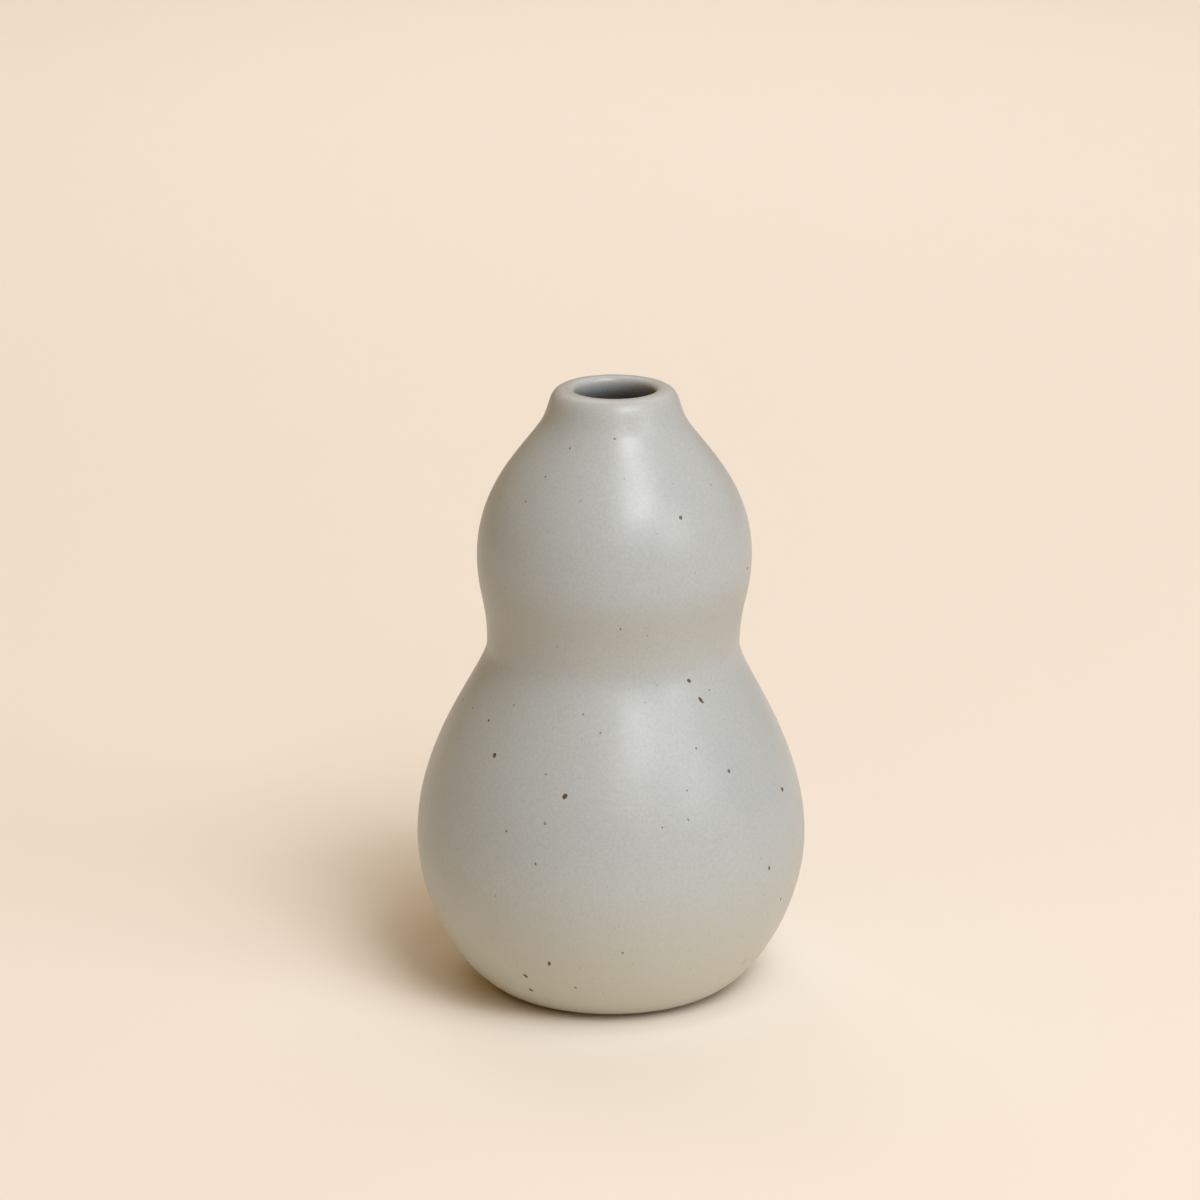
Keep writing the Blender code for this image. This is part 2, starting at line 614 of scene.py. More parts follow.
def remap(
    tree: bpy.types.NodeTree,
    value: bpy.types.NodeSocket,
    low: Feed,
    high: Feed,
    out_low: float = 0.0,
    out_high: float = 1.0,
) -> bpy.types.NodeSocket:
    """Map a value softly from one range to another, held at its ends.

    Args:
        tree: The node tree.
        value: The value.
        low: Where the result is out_low.
        high: Where the result is out_high.
        out_low: The result's value at low.
        out_high: The result's value at high.

    Returns:
        The mapped value.
    """
    inputs = {"Value": value, "From Min": low, "From Max": high}
    inputs |= {"To Min": out_low, "To Max": out_high}
    ramp = add_node(tree, "ShaderNodeMapRange", inputs, interpolation_type="SMOOTHSTEP")
    return ramp.outputs["Result"]


def start_group(
    name: str, output: str, **inputs: float
) -> tuple[bpy.types.NodeTree, bpy.types.NodeOutputs]:
    """Begin a shader node group that reads a place and gives one value.

    Args:
        name: The group's name.
        output: The name of its output.
        **inputs: Its value inputs with their defaults.

    Returns:
        The group and what it is given, by name.
    """
    tree = bpy.data.node_groups.new(name, "ShaderNodeTree")
    tree.interface.new_socket(name="Place", in_out="INPUT", socket_type="NodeSocketVector")
    for title, value in inputs.items():
        socket = tree.interface.new_socket(
            name=title, in_out="INPUT", socket_type="NodeSocketFloat"
        )
        socket.default_value = value
    tree.interface.new_socket(name=output, in_out="OUTPUT", socket_type="NodeSocketFloat")
    return tree, tree.nodes.new("NodeGroupInput").outputs


def end_group(tree: bpy.types.NodeTree, value: bpy.types.NodeSocket) -> bpy.types.NodeTree:
    """Finish a shader node group.

    Args:
        tree: The group.
        value: What it gives.

    Returns:
        The group.
    """
    add_node(tree, "NodeGroupOutput", {0: value})
    return tree


class Effects:
    """The surface effects that several finishes share, each a node group built once."""

    def __init__(self) -> None:
        """Build the groups."""
        self.mottle = self._mottle()
        self.grain = self._grain()
        self.pin_points = self._pin_points()
        self.ring = self._ring()

    @staticmethod
    def _mottle() -> bpy.types.NodeTree:
        """Broad soft clouds, where a coat is a little thicker or thinner: a mask.

        Returns:
            The group.
        """
        tree, given = start_group("mottle", "Mask", Scale=30.0, Detail=3.0)
        inputs = {"Vector": given["Place"], "Scale": given["Scale"], "Detail": given["Detail"]}
        cloud = add_node(tree, "ShaderNodeTexNoise", inputs)
        return end_group(tree, remap(tree, cloud.outputs["Fac"], low=0.3, high=0.7))

    @staticmethod
    def _grain() -> bpy.types.NodeTree:
        """The fine grain and slow dimpling of a satin surface, as a height from 0 to 1.

        Returns:
            The group.
        """
        tree, given = start_group("grain", "Height", Fine=2600.0, Slow=420.0)
        layers = []
        for title, detail in (("Fine", 2.0), ("Slow", 1.0)):
            inputs = {"Vector": given["Place"], "Scale": given[title], "Detail": detail}
            layers.append(add_node(tree, "ShaderNodeTexNoise", inputs).outputs["Fac"])
        inputs = {"Factor": 0.5, "A": layers[0], "B": layers[1]}
        mean = add_node(tree, "ShaderNodeMix", inputs, data_type="FLOAT")
        return end_group(tree, mean.outputs["Result"])

    @staticmethod
    def _pin_points() -> bpy.types.NodeTree:
        """Scattered pin-points of iron: a mask that is 1 in each of them.

        Returns:
            The group.
        """
        tree, given = start_group("pin_points", "Mask", Scale=420.0, Size=0.09, Crowd=0.35)
        inputs = {"Vector": given["Place"], "Scale": given["Scale"]}
        cells = add_node(tree, "ShaderNodeTexVoronoi", inputs, feature="F1").outputs
        chance = add_node(tree, "ShaderNodeSeparateColor", {"Color": cells["Color"]}).outputs
        core_share = 0.4
        rim = calculate(tree, "MULTIPLY", chance["Green"], given["Size"])
        core = calculate(tree, "MULTIPLY", rim, core_share)
        spot = remap(tree, cells["Distance"], low=rim, high=core)
        chosen = calculate(tree, "LESS_THAN", chance["Red"], given["Crowd"])
        return end_group(tree, calculate(tree, "MULTIPLY", spot, chosen))

    @staticmethod
    def _ring() -> bpy.types.NodeTree:
        """A band round the axis for thin glaze and painted bounce: a mask that is 1 on the edge.

        Returns:
            The group.
        """
        tree, given = start_group("thin_glaze_and_bounce_ring", "Mask", Radius=0.01, Height=0.1, Reach=0.001)
        place = add_node(tree, "ShaderNodeSeparateXYZ", {"Vector": given["Place"]}).outputs
        flat = add_node(tree, "ShaderNodeCombineXYZ", {"X": place["X"], "Y": place["Y"]})
        radius = measure(tree, "LENGTH", flat.outputs["Vector"])
        here = add_node(tree, "ShaderNodeCombineXYZ", {"X": radius, "Z": place["Z"]})
        inputs = {"X": given["Radius"], "Z": given["Height"]}
        edge = add_node(tree, "ShaderNodeCombineXYZ", inputs)
        away = measure(tree, "DISTANCE", here.outputs["Vector"], edge.outputs["Vector"])
        return end_group(tree, remap(tree, away, 0.0, given["Reach"], out_low=1.0, out_high=0.0))


class Surface:
    """A material's node tree round one Principled shader, with short ways to dress it."""

    def __init__(self, name: str) -> None:
        """Start a material.

        Args:
            name: The material's name.
        """
        self.material = bpy.data.materials.new(name)
        self.material.use_nodes = True
        self.tree = self.material.node_tree
        self.shader = self.tree.nodes["Principled BSDF"]
        self.place = add_node(self.tree, "ShaderNodeTexCoord").outputs["Object"]

    def group(
        self, tree: bpy.types.NodeTree, place: bpy.types.NodeSocket | None = None, **values: float
    ) -> bpy.types.NodeSocket:
        """Place a node group.

        Args:
            tree: The group.
            place: Where it is read. Without it, the group reads the piece's own coordinates.
            **values: Its other inputs.

        Returns:
            What the group gives.
        """
        inputs = {"Place": self.place if place is None else place, **values}
        return add_node(self.tree, "ShaderNodeGroup", inputs, node_tree=tree).outputs[0]

    def mix(self, share: bpy.types.NodeSocket, first: Feed, second: Feed) -> bpy.types.NodeSocket:
        """Blend two colours by a mask.

        Args:
            share: The mask, 0 for the first colour and 1 for the second.
            first: A colour or an output that gives one.
            second: A colour or an output that gives one.

        Returns:
            The blended colour.
        """
        blend = add_node(self.tree, "ShaderNodeMix", {"Factor": share}, data_type="RGBA")
        colours = [socket for socket in blend.inputs if socket.type == "RGBA"]
        for socket, value in zip(colours, (first, second)):
            feed(self.tree, socket, value)
        return next(socket for socket in blend.outputs if socket.type == "RGBA")

    def bump(self, height: bpy.types.NodeSocket, relief: float) -> bpy.types.NodeSocket:
        """Raise the surface by a height.

        Args:
            height: The height, from 0 to 1.
            relief: How far 1 stands above 0.

        Returns:
            The raised surface's normal.
        """
        inputs = {"Distance": relief, "Height": height}
        return add_node(self.tree, "ShaderNodeBump", inputs).outputs["Normal"]

    def dress(self, **values: Feed) -> bpy.types.Material:
        """Set the shader's own inputs.

        Args:
            **values: What they get, with the spaces in their names written as underscores.

        Returns:
            The material.
        """
        for name, value in values.items():
            feed(self.tree, self.shader.inputs[name.replace("_", " ")], value)
        return self.material


# --------------------------------------------------------------------------------------------------
# Finishes
# --------------------------------------------------------------------------------------------------


@dataclass(frozen=True)
class ThinGlazeAndBounceRing:
    """A band round the vase: where glaze runs thin over what is below, and painted bounce light.

    Attributes:
        radius: The edge's distance from the axis.
        height: The edge's height.
        reach: How far from the edge the band goes.
        strength: How much of the band's colour shows on the edge itself.
        below: The clay under thin glaze; for the waist band, a painted warm bounce tint.
    """

    radius: float
    height: float
    reach: float
    strength: float
    below: Colour = (0.58, 0.44, 0.33, 1.0)


@dataclass(frozen=True)
class SoftMark:
    """A small round place where the glaze lies a little thinner and greyer.

    Attributes:
        around: Its angle round the vase in degrees, 0 in front and 90 on the right.
        radius: Its distance from the axis.
        height: Its height.
        reach: How far from its middle it goes.
        strength: How much of the grey shows in its middle.
        grey: The grey.
    """

    around: float = 53.6
    radius: float = 37.4 * MM
    height: float = 11.8 * MM
    reach: float = 1.6 * MM
    strength: float = 0.35
    grey: Colour = (0.20, 0.21, 0.21, 1.0)

    def blend(self, surface: Surface, coat: bpy.types.NodeSocket) -> bpy.types.NodeSocket:
        """Lay the mark over a coat.

        Args:
            surface: The material.
            coat: The coat's colour so far.

        Returns:
            The coat's colour with the mark.
        """
        tree, turn = surface.tree, math.radians(self.around)
        middle = (self.radius * math.sin(turn), -self.radius * math.cos(turn), self.height)
        away = measure(tree, "DISTANCE", surface.place, middle)
        share = remap(tree, away, 0.0, self.reach, out_low=self.strength, out_high=0.0)
        return surface.mix(share, coat, self.grey)


@dataclass(frozen=True)
class SatinGlaze:
    """A satin-matt glaze: a clouded colour, pin-points of iron and a fine grain.

    Attributes:
        name: The material's name.
        colour: The coat where it is thick.
        thin_colour: The coat where it is thin.
        pale: The fine crystals that grain it.
        crystals: How much of the pale shows where they are thickest.
        painted_bounce_colour: Painted warm light bounced from the floor onto the lower belly.
        painted_bounce_from: The height at which the painted bounce starts, going down.
        painted_bounce_to: The height at which it is complete.
        painted_bounce_to: The height at which it is complete.
        iron: The pin-points' colour.
        roughness: The least and the most roughness.
        relief: The grain's depth.
        crowd: The share of the pattern's cells that hold a pin-point.
        rings: The bands where it runs thin over an edge, and a painted bounce band at the waist.
        marks: The soft marks on it.
        lean: How far the rings' axis lies to the right of the foot's.
    """

    name: str
    colour: Colour = (0.362, 0.408, 0.450, 1.0)
    thin_colour: Colour = (0.382, 0.423, 0.460, 1.0)
    pale: Colour = (0.60, 0.64, 0.65, 1.0)
    crystals: float = 0.17
    painted_bounce_colour: Colour = (0.522, 0.520, 0.440, 1.0)
    painted_bounce_from: float = 49.0 * MM
    painted_bounce_to: float = 0.0
    iron: Colour = (0.20, 0.17, 0.135, 1.0)
    roughness: tuple[float, float] = (0.32, 0.37)
    relief: float = 0.022 * MM
    crowd: float = 0.35
    rings: tuple[ThinGlazeAndBounceRing, ...] = ()
    marks: tuple[SoftMark, ...] = ()
    lean: float = 0.0

    def make(self, effects: Effects) -> bpy.types.Material:
        """Build the material.

        Args:
            effects: The shared node groups.

        Returns:
            The material.
        """
        surface = Surface(self.name)
        tree = surface.tree
        cloud = surface.group(effects.mottle, Scale=24.0, Detail=3.0)
        coat = surface.mix(cloud, self.colour, self.thin_colour)
        # Painted warm bounce light from the floor: lighter and warmer towards the foot.
        coat = surface.mix(self._painted_bounce(surface), coat, self.painted_bounce_colour)
        grain = surface.group(effects.grain, Fine=3600.0, Slow=1500.0)
        crystals = remap(tree, grain, low=0.38, high=0.62, out_high=self.crystals)
        coat = surface.mix(crystals, coat, self.pale)
        for ring in self.rings:
            coat = self._lay_ring(surface, effects, ring, coat)
        for mark in self.marks:
            coat = mark.blend(surface, coat)
        points = surface.group(effects.pin_points, Scale=420.0, Size=0.10, Crowd=self.crowd)
        patch = surface.group(effects.mottle, Scale=90.0, Detail=2.0)
        return surface.dress(
            Base_Color=surface.mix(points, coat, self.iron),
            Roughness=remap(tree, patch, 0.0, 1.0, *self.roughness),
            Normal=surface.bump(grain, self.relief),
        )

    def _painted_bounce(self, surface: Surface) -> bpy.types.NodeSocket:
        """The mask of the painted bounce light, from the height alone.

        Args:
            surface: The material.

        Returns:
            The mask.
        """
        tree = surface.tree
        place = add_node(tree, "ShaderNodeSeparateXYZ", {"Vector": surface.place}).outputs
        return remap(tree, place["Z"], self.painted_bounce_to, self.painted_bounce_from, out_low=1.0, out_high=0.0)

    def _lay_ring(
        self, surface: Surface, effects: Effects, ring: ThinGlazeAndBounceRing, coat: bpy.types.NodeSocket
    ) -> bpy.types.NodeSocket:
        """Lay a ring's colour along it: clay under thin glaze, and painted bounce at the waist.

        Args:
            surface: The material.
            effects: The shared node groups.
            ring: The ring.
            coat: The coat's colour so far.

        Returns:
            The coat's colour with the ring.
        """
        inputs = {"Vector": surface.place, "Location": (-self.lean, 0.0, 0.0)}
        centred = add_node(surface.tree, "ShaderNodeMapping", inputs).outputs["Vector"]
        band = surface.group(
            effects.ring, centred, Radius=ring.radius, Height=ring.height, Reach=ring.reach
        )
        share = remap(surface.tree, band, low=0.0, high=1.0, out_high=ring.strength)
        return surface.mix(share, coat, ring.below)


@dataclass(frozen=True)
class MeltedIron:
    """The finish of the specks: iron that melted and spread in the glaze, more or less veiled by it.

    Attributes:
        name: The material's name.
        dark: The iron at the middle of a bold speck.
        brown: The iron where it thins.
        veiled: The colour of a speck that the glaze covers wholly.
        roughness: The least and the most roughness.
    """

    name: str
    dark: Colour = (0.058, 0.038, 0.022, 1.0)
    brown: Colour = (0.150, 0.102, 0.060, 1.0)
    veiled: Colour = (0.340, 0.355, 0.330, 1.0)
    roughness: tuple[float, float] = (0.42, 0.55)

    def make(self, effects: Effects) -> bpy.types.Material:
        """Build the material.

        Args:
            effects: The shared node groups.

        Returns:
            The material.
        """
        surface = Surface(self.name)
        cloud = surface.group(effects.mottle, Scale=1400.0, Detail=2.0)
        iron = surface.mix(cloud, self.dark, self.brown)
        veil = add_node(surface.tree, "ShaderNodeAttribute", attribute_name=VEIL_ATTRIBUTE)
        grain = surface.group(effects.grain, Fine=5200.0, Slow=1800.0)
        return surface.dress(
            Base_Color=surface.mix(veil.outputs["Fac"], iron, self.veiled),
            Roughness=remap(surface.tree, grain, 0.3, 0.7, *self.roughness),
        )


@dataclass(frozen=True)
class FiredClay:
    """Bare stoneware: a sandy buff body with darker grains, dry to the touch.

    Attributes:
        name: The material's name.
        colour: The clay's colour.
        grains: The colour of the sand in it.
        iron: The colour of the iron grains in it.
        roughness: How rough it is.
        gloss: How much it reflects.
        relief: How deep its texture is.
    """

    name: str
    colour: Colour = (0.50, 0.385, 0.27, 1.0)
    grains: Colour = (0.36, 0.26, 0.17, 1.0)
    iron: Colour = (0.16, 0.10, 0.06, 1.0)
    roughness: float = 0.88
    gloss: float = 0.3
    relief: float = 0.06 * MM

    def make(self, effects: Effects) -> bpy.types.Material:
        """Build the material.

        Args:
            effects: The shared node groups.

        Returns:
            The material.
        """
        surface = Surface(self.name)
        cloud = surface.group(effects.mottle, Scale=900.0, Detail=4.0)
        clay = surface.mix(cloud, self.colour, self.grains)
        points = surface.group(effects.pin_points, Scale=500.0, Size=0.2, Crowd=0.5)
        grain = surface.group(effects.grain, Fine=3200.0, Slow=900.0)
        return surface.dress(
            Base_Color=surface.mix(points, clay, self.iron),
            Roughness=self.roughness,
            Specular_IOR_Level=self.gloss,
            Normal=surface.bump(grain, self.relief),
        )


# --------------------------------------------------------------------------------------------------
# The pot
# --------------------------------------------------------------------------------------------------


@dataclass(frozen=True)
class GlazeCoats:
    """The three coats of glaze: over the outside and the lip, over the inside, under the base.

    Attributes:
        outline: The vase's glazed shape.
        thickness: How thick a coat is.
        base_radius: The radius of the glazed disc under the base.
        base_height: How high its edge is above the surface that the vase stands on.
        base_rise: How far its middle is above its edge.
        lathe: The lathe that turns the coats.
    """

    outline: VaseOutline
    thickness: float = 0.5 * MM
    base_radius: float = 16.8 * MM
    base_height: float = 1.4 * MM
    base_rise: float = 0.5 * MM
    lathe: Lathe = Lathe()

    def build_outer(self) -> bpy.types.Object:
        """The coat over the outside and the lip, from the glaze line to the seam in the neck.

        Returns:
            The coat.
        """
        curve = self.outline.coated()
        section = sunk(curve, 0.0) + sunk(curve, self.thickness)[::-1]
        return self.lathe.turn("outer_glaze_coat", section, closed=True)

    def build_liner(self) -> bpy.types.Object:
        """The coat over the inside, from the seam in the neck to the middle of the floor.

        Returns:
            The coat.
        """
        curve = self.outline.lined()
        section = sunk(curve, 0.0)[::-1] + sunk(curve, self.thickness)
        return self.lathe.turn("liner_glaze_coat", section, closed=False)

    def build_base(self) -> bpy.types.Object:
        """The domed disc of glaze in the recess under the base.

        Returns:
            The coat.
        """
        lower = dome(self.base_radius, self.base_height, self.base_rise)
        upper = dome(self.base_radius, self.base_height + self.thickness, self.base_rise)
        return self.lathe.turn("base_glaze_coat", lower + upper[::-1], closed=False)


@dataclass(frozen=True)
class ClayBody:
    """The fired clay under the coats: wall, lip, floor and the bare foot ring that it stands on.

    Attributes:
        outline: The vase's glazed shape.
        under: How far the clay lies below the glazed surface.
        bare_step: How far it lies below that surface where it is bare.
        foot_outer_radius: The outer edge of the flat resting face.
        foot_inner_radius: The inner edge of the flat resting face.
        bevel: The rounding of the ring's edges.
        recess_radius: The radius of the recess at its roof.
        recess_height: The height of the recess's roof at its edge.
        recess_rise: How far the middle of the roof is above its edge.
        lathe: The lathe that turns the clay.
    """

    outline: VaseOutline
    under: float = 0.55 * MM
    bare_step: float = 0.4 * MM
    foot_outer_radius: float = 23.5 * MM
    foot_inner_radius: float = 18.6 * MM
    bevel: float = 0.35 * MM
    recess_radius: float = 17.0 * MM
    recess_height: float = 1.9 * MM
    recess_rise: float = 0.5 * MM
    lathe: Lathe = Lathe()

    def build(self) -> bpy.types.Object:
        """The clay, turned as one piece from the middle of its recess to the middle of its floor.

        Returns:
            The clay.
        """
        recess = dome(self.recess_radius, self.recess_height, self.recess_rise)
        bare = sunk(self.outline.bare(), self.bare_step)
        wall = sunk(self.outline.coated()[:-1] + self.outline.lined(), self.under)
        return self.lathe.turn("clay_pot", recess + self._foot() + bare + wall, closed=False)

    def _foot(self) -> Section:
        """The foot ring: its inner side, its flat resting face and its rounded edges.

        Returns:
            Its points.
        """
        inner, outer, bevel = self.foot_inner_radius, self.foot_outer_radius, self.bevel
        ease = 0.3 * bevel
        return [
            Vector((inner - bevel, bevel)),
            Vector((inner - ease, ease)),
            Vector((inner + ease, 0.0)),
            Vector((outer - 2 * ease, 0.0)),
            Vector((outer + ease, bevel / 4)),
        ]


def attach(piece: bpy.types.Object, slot: Slot, *nodes: str) -> None:
    """Let a piece ride with the vase and stand for its frame nodes.

    Args:
        piece: The finished piece.
        slot: The record's slot that its finish belongs to; it is only logged.
        *nodes: The frame nodes that it stands for.
    """
    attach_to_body(piece, BODY)
    if nodes:
        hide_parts(*nodes)
    LOG.info("%s: %d faces, %s", piece.name, len(piece.data.polygons), slot.value)


# --------------------------------------------------------------------------------------------------
# Iron specks
# --------------------------------------------------------------------------------------------------


class Veil(Enum):
    """How much of the glaze lies over a speck, from bare iron (0) to wholly covered (1)."""

    NONE = 0.0
    LIGHT = 0.3
    HALF = 0.55
    DEEP = 0.78


@dataclass(frozen=True)
class Speck:
    """One grain of iron that melted through the glaze.

    Attributes:
        around: Its angle round the vase in degrees, 0 in front and 90 on the right.
        height: Its height in millimetres.
        length: How long it is, in millimetres.
        width: How wide it is, in millimetres.
        tilt: How far its length leans from upright, clockwise, in degrees.
        veil: How much glaze lies over it.
    """

    around: float
    height: float
    length: float = 0.50
    width: float = 0.42
    tilt: float = 0.0
    veil: Veil = Veil.LIGHT


FRONT_SPECKS = (
    Speck(-15, 57, 1.35, 0.95, 34, Veil.NONE),
    Speck(-44.5, 62.5, 1.15, 0.95, -6, Veil.NONE),
    Speck(35.5, 79, 1.25, 0.75, -36, Veil.NONE),
    Speck(39.5, 74.5, 1.85, 0.75, -27, Veil.NONE),
    Speck(32, 116.5, 0.95, 0.80, 20, Veil.NONE),
    Speck(42.5, 59.5, 0.85, 0.75, 0, Veil.NONE),
    Speck(67, 51, 1.00, 1.00, -15, Veil.NONE),
    Speck(53, 36, 0.95, 0.70, -10, Veil.NONE),
    Speck(-20, 17.5, 1.30, 0.75, 18, Veil.NONE),
    Speck(-30.5, 12.5, 1.20, 0.80, -40, Veil.NONE),
    Speck(-31, 8, 1.20, 0.80, -45, Veil.NONE),
    Speck(0, 132.5, 0.55, 0.50),
    Speck(74, 100.5, 0.65, 0.70, 0, Veil.NONE),
    Speck(62.5, 26, 0.70, 0.60, 10, Veil.NONE),
    Speck(-54, 68.5, 0.60, 0.60, 0, Veil.NONE),
    Speck(2.5, 93),
    Speck(-48.5, 118.5),
    Speck(-42.5, 124),
    Speck(-33.5, 130),
    Speck(59.5, 121),
    Speck(-44, 73),
    Speck(-81, 68.5, 0.60, 0.80),
    Speck(-68, 69),
    Speck(-12, 73.5),
    Speck(-4.5, 70),
    Speck(-22.5, 61),
    Speck(31.5, 65.5, 0.55, 0.45),
    Speck(45.5, 76, 0.45, 0.40),
    Speck(-33, 48, 0.55, 0.50),
    Speck(-22.5, 42, 0.60, 0.50),
    Speck(15.5, 50.5, 0.45, 0.40),
    Speck(25, 57.5, 0.45, 0.40),
    Speck(24, 51.5, 0.55, 0.40),
    Speck(-20.5, 51, 0.80, 0.70, 0, Veil.HALF),
    Speck(-12.5, 11, 0.80, 0.75, 10, Veil.HALF),
    Speck(3.5, 21.5, 0.65, 0.50),
)


@dataclass(frozen=True)
class IronSpecks:
    """The dark specks that a speckled stoneware clay leaves in the glaze.

    The bold ones in front lie where this vase has them. The rest are strewn by chance.

    Attributes:
        coat: The outer coat, before the maker's hand softens it.
        proud: How far a speck stands out of the glaze.
        depth: How deep it goes from there.
        spread: How much wider than its grain a speck has run.
        bold: How many bold specks lie on the sides and the back.
        bold_length: Their least and greatest length in millimetres.
        bold_width: Their least and greatest width, as a share of their length.
        small: How many small ones lie there.
        small_length: Their least and greatest length in millimetres.
        small_width: Their width as a share of their length.
        fine: How many fine ones lie all round.
        fine_size: Their least and greatest size in millimetres.
        fine_below: The length in millimetres up to which a speck takes a fine grain.
        tilt: How far a speck by chance may lean from upright, in degrees.
        front: The angle on either side of the front that the bold ones by chance keep clear of.
        heights: The least and greatest height of a speck by chance, in millimetres.
        widest: A radius that the coat nowhere passes.
        lumps: How lumpy a grain is, as a share of its length.
        bold_seeds: Choose the shapes of the grains of bold and small specks.
        fine_seeds: Choose the shapes of the grains of fine specks.
        seed: Chooses where the specks by chance lie.
    """

    coat: bpy.types.Object
    proud: float = 0.04 * MM
    depth: float = 0.12 * MM
    spread: float = 1.15
    bold: int = 13
    bold_length: tuple[float, float] = (0.7, 1.5)
    bold_width: tuple[float, float] = (0.5, 0.85)
    small: int = 34
    small_length: tuple[float, float] = (0.38, 0.6)
    small_width: float = 0.85
    fine: int = 330
    fine_size: tuple[float, float] = (0.14, 0.29)
    fine_below: float = 0.3
    tilt: float = 60.0
    front: float = 88.0
    heights: tuple[float, float] = (3.0, 137.0)
    widest: float = 45.0 * MM
    lumps: float = 0.09
    bold_seeds: tuple[int, ...] = (3, 5, 8)
    fine_seeds: tuple[int, ...] = (2, 4)
    seed: int = 7

    def build(self) -> bpy.types.Object:
        """Model a few grains, then melt a copy of one into the coat for every speck.

        Returns:
            All specks, as one piece.
        """
        skin = BVHTree.FromPolygons(
            [vertex.co for vertex in self.coat.data.vertices],
            [tuple(face.vertices) for face in self.coat.data.polygons],
        )
        bold_grains = [self._grain(2, seed) for seed in self.bold_seeds]
        fine_grains = [self._grain(1, seed) for seed in self.fine_seeds]
        dice = random.Random(self.seed)
        placed = []
        for speck in (*FRONT_SPECKS, *self._strewn(dice, skin)):
            grains = bold_grains if speck.length > self.fine_below else fine_grains
            placed.append(self._melt(dice.choice(grains), speck, skin))
        for grain in (*bold_grains, *fine_grains):
            bpy.data.objects.remove(grain, do_unlink=True)
        select_only(placed[0])
        for item in placed:
            item.select_set(True)
        bpy.ops.object.join()
        specks = bpy.context.active_object
        specks.name = specks.data.name = "iron_specks"
        return specks

    def _grain(self, fineness: int, seed: int) -> bpy.types.Object:
        """A lumpy little grain, one unit long.

        Args:
            fineness: The subdivision of the ball that it starts as.
            seed: Chooses its lumps.

        Returns:
            The grain.
        """
        bpy.ops.object.select_all(action="DESELECT")
        bpy.ops.mesh.primitive_ico_sphere_add(subdivisions=fineness, radius=0.5, location=(0, 0, 0))
        grain = bpy.context.active_object
        bpy.ops.object.mode_set(mode="EDIT")
        bpy.ops.mesh.select_all(action="SELECT")
        bpy.ops.transform.vertex_random(offset=self.lumps, seed=seed)
        bpy.ops.mesh.normals_make_consistent(inside=False)
        bpy.ops.object.mode_set(mode="OBJECT")
        bpy.ops.object.shade_smooth()
        return grain

    def _strewn(self, dice: random.Random, skin: BVHTree) -> list[Speck]:
        """Specks by chance: bold and small ones on the sides and the back, fine ones everywhere.

        Args:
            dice: Where the chance comes from.
            skin: The coat's surface.

        Returns:
            The specks.
        """
        found = []
        for _ in range(self.bold):
            length = dice.uniform(*self.bold_length)
            width = length * dice.uniform(*self.bold_width)
            place = self._somewhere(dice, skin, self.front)
            tilt = dice.uniform(-self.tilt, self.tilt)
            found.append(Speck(*place, length, width, tilt, Veil.NONE))
        for _ in range(self.small):
            length = dice.uniform(*self.small_length)
            place = self._somewhere(dice, skin, self.front)
            tilt = dice.uniform(-self.tilt, self.tilt)
            found.append(Speck(*place, length, length * self.small_width, tilt))
        for _ in range(self.fine):
            size = dice.uniform(*self.fine_size)
            veil = dice.choice((Veil.LIGHT, Veil.HALF, Veil.DEEP))
            place = self._somewhere(dice, skin, clear=0.0)
            found.append(Speck(*place, size, size, veil=veil))
        return found

    def _somewhere(self, dice: random.Random, skin: BVHTree, clear: float) -> tuple[float, float]:
        """A place by chance, as likely on each bit of the surface.

        Args:
            dice: Where the chance comes from.
            skin: The coat's surface.
            clear: The angle on either side of the front to keep clear of.

        Returns:
            Its angle round the vase in degrees and its height in millimetres.
        """
        while True:
            around, height = dice.uniform(clear, 360.0 - clear), dice.uniform(*self.heights)
            point, _ = surface_at(skin, around, height * MM)
            if dice.random() < point.xy.length / self.widest:
                return around, height

    def _melt(self, grain: bpy.types.Object, speck: Speck, skin: BVHTree) -> bpy.types.Object:
        """Copy a grain into the coat as one speck.

        Args:
            grain: The grain to copy.
            speck: The speck.
            skin: The coat's surface.

        Returns:
            The placed copy, with its own mesh.
        """
        point, out = surface_at(skin, speck.around, speck.height * MM)
        upright = (Vector((0.0, 0.0, 1.0)) - out * out.z).normalized()
        right = upright.cross(out)
        tilt = math.radians(speck.tilt)
        along = upright * math.cos(tilt) + right * math.sin(tilt)
        across = right * math.cos(tilt) - upright * math.sin(tilt)
        middle = point + out * (self.proud - self.depth / 2)
        wide, long = speck.width * self.spread * MM, speck.length * self.spread * MM
        columns = (across * wide, -out * self.depth, along * long, middle)
        place = Matrix([[column[row] for column in columns] for row in range(3)]).to_4x4()
        copy = grain.copy()
        copy.data = grain.data.copy()
        bpy.context.scene.collection.objects.link(copy)
        copy.data.transform(place)
        veil = copy.data.attributes.new(VEIL_ATTRIBUTE, "FLOAT", "POINT")
        for entry in veil.data:
            entry.value = speck.veil.value
        return copy


def surface_at(
    skin: BVHTree, around: float, height: float, outside: float = 0.1
) -> tuple[Vector, Vector]:
    """The place on the outside at an angle round the axis and a height.

    Args:
        skin: The coat's surface.
        around: The angle in degrees, 0 in front and 90 on the right.
        height: The height.
        outside: A distance from the axis that is well outside the vase.

    Returns:
        The point and the direction that the surface faces there.
    """
    turn = math.radians(around)
    out = Vector((math.sin(turn), -math.cos(turn), 0.0))
    start = out * outside + Vector((0.0, 0.0, height))
    point, normal, _, _ = skin.ray_cast(start, -out)
    return point, normal


# --------------------------------------------------------------------------------------------------
# The studio
# --------------------------------------------------------------------------------------------------


